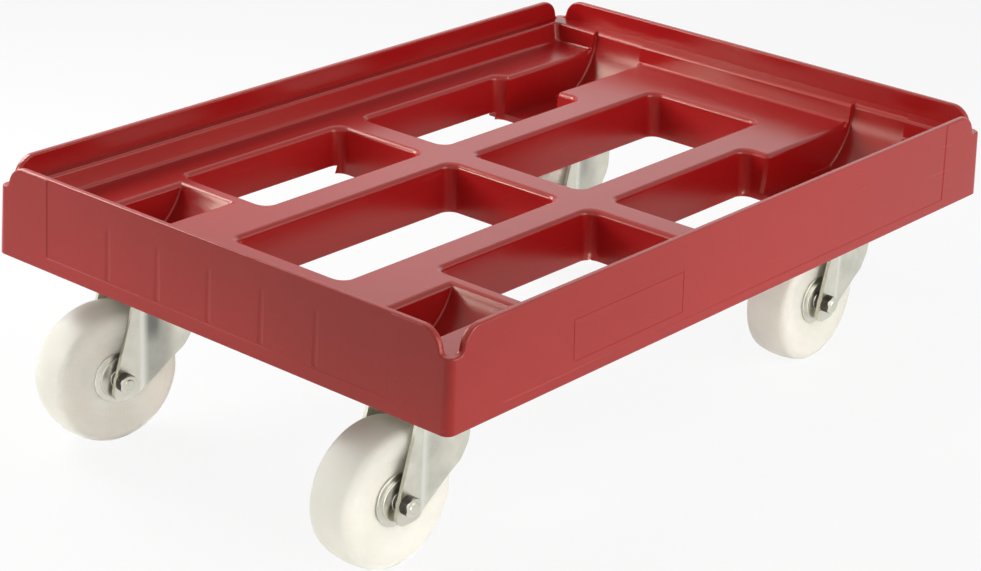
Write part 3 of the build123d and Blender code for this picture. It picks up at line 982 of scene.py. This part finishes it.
# %% Castor: the four copies
turns = {}
for joint in frame["joints"]:
    if joint["name"].endswith("_wheel_spin"):
        turns[joint["child"][:-len("_roll")]] = math.atan2(-joint["axis"][0], joint["axis"][1])


def copy_to(piece, name, place, turn):
    """A copy with a mesh of its own, turned and moved to its place."""
    only(piece)
    bpy.ops.object.duplicate(linked=False)
    twin = bpy.context.object
    twin.location = home + place
    twin.rotation_euler = (0, 0, turn)
    return apply_place(twin, name)


kinds = [
    (plate, "top_plate", "steel_plate", "", "zinc_steel"),
    (skirt, "dust_ring", "steel_skirt", "", "zinc_steel"),
    (fork, "fork", "pressed_fork", "_swivel", "zinc_steel"),
    (bolt, "axle_bolt", "hex_bolt", "_swivel", "zinc_steel"),
    (nut, "axle_nut", "lock_nut", "_swivel", "zinc_steel"),
    (covers, "bearing_covers", "hub_covers", "_swivel", "zinc_steel"),
    (wheel, "wheel", "nylon_wheel", "_roll", "wheel_nylon"),
]
for castor, place in places.items():
    for piece, node, name, body, finish in kinds:
        twin = copy_to(piece, f"{castor}_{name}", place, turns[castor] if body else 0)
        hand_over(twin, f"{castor}_{node}", finish, castor + body if body else "chassis")
# How much painted shade each fork's valley gets, copy by copy.
valley_shade_share = {"rear_left": 1.0, "rear_right": 0.15, "front_left": 0.5, "front_right": 0.15}
for castor, share in valley_shade_share.items():
    for spot in bpy.data.objects[f"{castor}_pressed_fork"].data.attributes["grime"].data:
        spot.value *= share
print("castor pieces copied; turns", {castor: round(turn, 3) for castor, turn in turns.items()})

# %% [markdown]
# The sixteen screws become one piece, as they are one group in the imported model, each turned
# differently as a hand leaves them. The hidden pieces of the swivel heads and hubs keep the shapes
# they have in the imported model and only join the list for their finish.

# %% Castor: the screws and the hidden pieces
screw_turn = math.radians(17)
screws = []
for place in places.values():
    for spot in screw_spots:
        screws.append(copy_to(screw, "screw_copy", place + spot, screw_turn * len(screws)))
join(*screws)
screws = apply_place(bpy.context.object, "flanged_screws")
hand_over(screws, "mount_screws", "zinc_steel", "chassis")
for piece in [kind[0] for kind in kinds] + [screw]:
    bpy.data.objects.remove(piece)
hidden = {"zinc_steel": ("king_pin", "lower_race"),
          "bearing_steel": ("upper_balls", "lower_balls", "axle_sleeve", "roller_bearing")}
for castor in places:
    for finish, nodes in hidden.items():
        looks[finish] += [frame["nodes"][f"{castor}_{node}"] for node in nodes]
print("pieces by finish", {finish: len(pieces) for finish, pieces in looks.items()})

# %% [markdown]
# Every finish is built from noise in the object's own coordinates, in metres, so its grain has a real
# size and stays with the piece when it turns. Small helpers make the usual parts: a noise, a change
# of range, a mix of colours and a bump. Images could do it too, but noise has no seams and no edges.

# %% Helpers for finishes
def finish_for(name):
    """A new material with a shader; gives the material, its tree, the shader and the coordinates."""
    made = bpy.data.materials.new(name)
    made.use_nodes = True
    tree = made.node_tree
    tree.nodes.clear()
    output = tree.nodes.new("ShaderNodeOutputMaterial")
    shader = tree.nodes.new("ShaderNodeBsdfPrincipled")
    tree.links.new(shader.outputs["BSDF"], output.inputs["Surface"])
    return made, tree, shader, tree.nodes.new("ShaderNodeTexCoord").outputs["Object"]


def noise(tree, place, scale, detail=2.0, stretch=(1, 1, 1)):
    """A noise whose patches are about 1 / scale metres wide, drawn out along an axis by its stretch."""
    fit = tree.nodes.new("ShaderNodeMapping")
    fit.inputs["Scale"].default_value = [scale / amount for amount in stretch]
    made = tree.nodes.new("ShaderNodeTexNoise")
    made.inputs["Scale"].default_value = 1.0
    made.inputs["Detail"].default_value = detail
    tree.links.new(place, fit.inputs["Vector"])
    tree.links.new(fit.outputs["Vector"], made.inputs["Vector"])
    return made.outputs["Fac"]


def spread(tree, value, low, high, to_low, to_high):
    """Map a range of values onto another, held at its ends."""
    made = tree.nodes.new("ShaderNodeMapRange")
    for socket, number in zip(("From Min", "From Max", "To Min", "To Max"), (low, high, to_low, to_high)):
        made.inputs[socket].default_value = number
    tree.links.new(value, made.inputs["Value"])
    return made.outputs["Result"]


def tint(tree, amount, first, second):
    """A colour between two, by an amount from 0 to 1."""
    made = tree.nodes.new("ShaderNodeMix")
    made.data_type = "RGBA"
    sockets = {socket.identifier: socket for socket in made.inputs}
    tree.links.new(amount, sockets["Factor_Float"])
    for name, colour in (("A_Color", first), ("B_Color", second)):
        if isinstance(colour, bpy.types.NodeSocket):
            tree.links.new(colour, sockets[name])
        else:
            sockets[name].default_value = (*colour, 1)
    return [socket for socket in made.outputs if socket.identifier == "Result_Color"][0]


def bump(tree, height, depth, normal=None):
    """A bump of a real depth in metres, on top of another where one is given."""
    made = tree.nodes.new("ShaderNodeBump")
    made.inputs["Distance"].default_value = depth
    tree.links.new(height, made.inputs["Height"])
    if normal:
        tree.links.new(normal, made.inputs["Normal"])
    return made.outputs["Normal"]


def feed(tree, shader, **values):
    """Link nodes to the shader's sockets, named with _ for a space, and set plain values on them."""
    for name, value in values.items():
        socket = shader.inputs[name.replace("_", " ")]
        if isinstance(value, bpy.types.NodeSocket):
            tree.links.new(value, socket)
        else:
            socket.default_value = value


# %% [markdown]
# The frame is dyed polypropylene with a fine satin grain from the mould. Long soft streaks follow the
# flow of the melt, and the handled surfaces carry a few dull scuffs. The grain could be modelled, but
# at a tenth of a millimetre a bump is enough.

# %% Finish: red polypropylene
red, tree, shader, place = finish_for("satin_red_polypropylene")
flow = noise(tree, place, 9, 3, (2.5, 1, 1))
scuffs = spread(tree, noise(tree, place, 300, 3, (14, 1, 1)), 0.66, 0.74, 0, 1)
patches = spread(tree, noise(tree, place, 14, 2), 0.5, 0.7, 0, 0.5)
dull = tree.nodes.new("ShaderNodeMath")
dull.operation = "MULTIPLY"
tree.links.new(scuffs, dull.inputs[0])
tree.links.new(patches, dull.inputs[1])
body = tint(tree, spread(tree, flow, 0.3, 0.7, 0, 1), (0.41, 0.0095, 0.0110), (0.45, 0.0120, 0.0130))
waves = bump(tree, noise(tree, place, 60, 1, (1, 1, 3)), 0.05 * mm)
feed(tree, shader, Base_Color=tint(tree, dull.outputs["Value"], body, (0.48, 0.045, 0.04)),
     Roughness=spread(tree, flow, 0.3, 0.7, 0.20, 0.27),
     Normal=bump(tree, noise(tree, place, 2600, 2), 0.012 * mm, waves),
     IOR=1.5, Specular_Tint=(1.0, 0.96, 0.80, 1))
print("red polypropylene:", len(tree.nodes), "nodes")

# %% [markdown]
# The fork, the plate and the fixings are zinc plated: a cool, slightly cloudy silver, with fine lines along the
# sheet. On the forks a painted highlight lightens the fold and a painted shade darkens the valley behind it, where
# their two attributes say so. Other pieces lack the attributes, which then read as nought.

# %% Finish: zinc plate
zinc, tree, shader, place = finish_for("zinc_plated_steel")
cloud = noise(tree, place, 70, 4)
bright = tint(tree, spread(tree, cloud, 0.35, 0.65, 0, 1), (0.60, 0.59, 0.51), (0.69, 0.68, 0.59))
# Mix in the painted highlight on the fold, then the painted shade in the fork's valley.
for name, most, colour in (("rubbed", 0.6, (0.86, 0.86, 0.80)), ("grime", 0.85, (0.10, 0.10, 0.095))):
    painted_light_mark = tree.nodes.new("ShaderNodeAttribute")
    painted_light_mark.attribute_name = name
    bright = tint(tree, spread(tree, painted_light_mark.outputs["Fac"], 0, 1, 0, most), bright, colour)
drawn = bump(tree, noise(tree, place, 900, 2, (1, 1, 12)), 0.01 * mm)
feed(tree, shader, Base_Color=bright, Roughness=spread(tree, cloud, 0.3, 0.7, 0.26, 0.40),
     Normal=bump(tree, noise(tree, place, 2200, 2), 0.006 * mm, drawn), Metallic=1.0)
print("zinc plate:", len(tree.nodes), "nodes")

# %% [markdown]
# Natural nylon is cream and lets a little light into its surface. The cast wheel has faint waves
# from cooling and a fine grain, and is a shade duller in patches. Without the light inside, a wheel
# in the shade of the frame would look like painted wood.

# %% Finish: cream nylon
nylon, tree, shader, place = finish_for("cream_nylon")
cast = noise(tree, place, 45, 3)
swell = bump(tree, cast, 0.06 * mm)
cream = tint(tree, spread(tree, cast, 0.3, 0.7, 0, 1), (0.87, 0.85, 0.74), (0.91, 0.89, 0.79))
feed(tree, shader, Base_Color=cream,
     Roughness=spread(tree, noise(tree, place, 120, 3), 0.3, 0.7, 0.34, 0.46),
     Normal=bump(tree, noise(tree, place, 2000, 2), 0.01 * mm, swell),
     IOR=1.53, Subsurface_Weight=0.35, Subsurface_Radius=(0.010, 0.0095, 0.009), Subsurface_Scale=1.0)
print("nylon:", len(tree.nodes), "nodes")

# %% [markdown]
# Balls, rollers and sleeves are ground bearing steel under a thin film of grease, which gathers in
# patches and dims them. A plain mirror would do for new steel, but not for a hub in use.

# %% Finish: bearing steel
steel, tree, shader, place = finish_for("ground_bearing_steel")
grease = spread(tree, noise(tree, place, 180, 3), 0.42, 0.6, 0, 1)
feed(tree, shader, Base_Color=tint(tree, grease, (0.60, 0.60, 0.61), (0.42, 0.38, 0.30)),
     Roughness=spread(tree, grease, 0, 1, 0.16, 0.34),
     Normal=bump(tree, noise(tree, place, 1500, 2, (1, 8, 1)), 0.004 * mm), Metallic=1.0)
print("bearing steel:", len(tree.nodes), "nodes")

# %% [markdown]
# The nut's sides and the neck in the slit between cover and leg get a dark steel: a painted reflection of the dark
# underside that the sides mirror, and a painted shade in the slit. The nut's end keeps the zinc. The dark finish
# goes on the faces that turn away from the axle's axis, chosen by their normals, so that one piece can carry two
# finishes.

# %% Finish: dark steel for painted shade and reflection, and all finishes given
dark, tree, shader, place = finish_for("oil_darkened_steel")
shade_mottle = noise(tree, place, 240, 3)
shade_colour = tint(tree, spread(tree, shade_mottle, 0.35, 0.65, 0, 1), (0.045, 0.038, 0.034), (0.11, 0.098, 0.09))
feed(tree, shader, Base_Color=shade_colour, Roughness=spread(tree, shade_mottle, 0.3, 0.7, 0.38, 0.52),
     Normal=bump(tree, noise(tree, place, 1200, 2), 0.006 * mm), Metallic=1.0)
finishes = {"frame_plastic": red, "zinc_steel": zinc, "wheel_nylon": nylon, "bearing_steel": steel}
for finish, made in finishes.items():
    for piece in looks[finish]:
        piece.data.materials.clear()
        piece.data.materials.append(made)
# Painted shade and reflection: the dark steel goes on the nut's sides and the cover's neck in the slit.
dark_reach = {"lock_nut": 1.0, "hub_covers": 10.6 * mm}
for castor, spot in places.items():
    turned_by = Matrix.Rotation(turns[castor], 3, "Z")
    middle, axis = home + spot + turned_by @ Vector(axle), turned_by @ directions["Y"]
    for name, reach in dark_reach.items():
        piece = bpy.data.objects[f"{castor}_{name}"]
        piece.data.materials.append(dark)
        for face in piece.data.polygons:
            off = face.center - middle
            near = (off - off.dot(axis) * axis).length < reach
            face.material_index = int(near and abs(face.normal.dot(axis)) < 0.5)
print("finishes given to", sum(len(pieces) for pieces in looks.values()), "pieces")

# %% [markdown]
# The studio is a plain white floor in a white room. Seen by the camera or mirrored in metal, floor
# and world are white; as light they give only a soft grey fill. The floor keeps a part of its own
# shading, so that the dolly's shadow stays on it. Near the dolly it is pale and throws light up to the
# wheels, and further out it is darker, so that the walls aren't lit from below.

# %% Studio: floor and world
floor_size, pool_near, pool_far = 8.0, 0.5, 1.2
floor_white, fill = 0.9, 0.10


def background_ray(tree):
    """One where a ray comes from the camera, a mirror or a clear surface, else zero."""
    path = tree.nodes.new("ShaderNodeLightPath")
    seen = path.outputs["Is Camera Ray"]
    for name in ("Is Glossy Ray", "Is Transmission Ray"):
        more = tree.nodes.new("ShaderNodeMath")
        more.operation = "MAXIMUM"
        tree.links.new(seen, more.inputs[0])
        tree.links.new(path.outputs[name], more.inputs[1])
        seen = more.outputs["Value"]
    return seen


ground = add("studio_floor", bpy.ops.mesh.primitive_plane_add, size=floor_size)
pale, tree, shader, place = finish_for("pale_floor")
reach = tree.nodes.new("ShaderNodeVectorMath")
reach.operation = "LENGTH"
tree.links.new(place, reach.inputs[0])
away = spread(tree, reach.outputs["Value"], pool_near, pool_far, 0, 1)
feed(tree, shader, Base_Color=tint(tree, away, (0.88, 0.88, 0.87), (0.40, 0.40, 0.40)),
     Roughness=spread(tree, noise(tree, place, 3, 2), 0.3, 0.7, 0.7, 0.8), Specular_IOR_Level=0.2)
glow = tree.nodes.new("ShaderNodeEmission")
glow.inputs["Strength"].default_value = 1.0
mixed = tree.nodes.new("ShaderNodeMixShader")
output = [node for node in tree.nodes if node.type == "OUTPUT_MATERIAL"][0]
tree.links.new(spread(tree, background_ray(tree), 0, 1, 0, floor_white), mixed.inputs["Fac"])
tree.links.new(shader.outputs["BSDF"], mixed.inputs[1])
tree.links.new(glow.outputs["Emission"], mixed.inputs[2])
tree.links.new(mixed.outputs["Shader"], output.inputs["Surface"])
ground.data.materials.append(pale)

world = bpy.data.worlds.new("studio_world")
bpy.context.scene.world = world
world.use_nodes = True
tree = world.node_tree
sky = [node for node in tree.nodes if node.type == "BACKGROUND"][0]
sky.inputs["Color"].default_value = (1, 1, 1, 1)
tree.links.new(spread(tree, background_ray(tree), 0, 1, fill, 1.0), sky.inputs["Strength"])
print("floor and world made; fill", fill)

# %% [markdown]
# Soft lamps stand all round, the strongest at the back left and on the right, as the light falls in
# the photograph. Two have a grid that narrows their beam: a weak one for the trough at the left end,
# and a low one for the wheels, which stand in the frame's shade. Stronger lamps above would light the
# wheels too, but the red walls would be too pale by then.

# %% Studio: lamps
def softbox(name, place, aim, width, height, power, beam=180):
    """A soft lamp at a place, pointing at another; a grid in front of it narrows its beam, in degrees."""
    lamp = bpy.data.lights.new(name, "AREA")
    lamp.shape = "RECTANGLE"
    lamp.size, lamp.size_y = width, height
    lamp.energy = power
    lamp.spread = math.radians(beam)
    holder = bpy.data.objects.new(name, lamp)
    bpy.context.scene.collection.objects.link(holder)
    holder.location = place
    holder.rotation_euler = (Vector(place) - Vector(aim)).to_track_quat("Z", "Y").to_euler()


middle = (0, 0, 0.13)
softbox("far_left_softbox", (-2.10, 1.69, 0.81), middle, 0.3, 0.5, 13)
softbox("left_softbox", (-0.62, 0.42, 0.33), (-0.31, 0.16, 0.17), 0.3, 0.08, 0.02, 24)
softbox("back_left_softbox", (-0.241, 0.901, 0.713), middle, 0.6, 0.6, 10)
softbox("front_softbox", (-1.273, -1.031, 1.277), middle, 1.0, 1.0, 1.5)
softbox("low_right_softbox", (0.131, -1.5, 0.32), middle, 1.2, 0.55, 5.0)
softbox("high_right_softbox", (0.2, -1.45, 0.95), middle, 0.8, 0.8, 6.8)
softbox("right_softbox", (0.773, -1.338, 0.544), middle, 0.8, 0.8, 3.0)
softbox("back_softbox", (1.75, 0.9, 0.85), middle, 1.4, 1.4, 1.6)
softbox("top_softbox", (0.5, 0.5, 1.9), middle, 1.6, 1.6, 4.0)
softbox("wheel_softbox", (-1.58, -1.55, 0.05), (-0.10, 0.10, 0.035), 0.8, 0.06, 0.17, 8)
print("lamps:", len(bpy.data.lights))
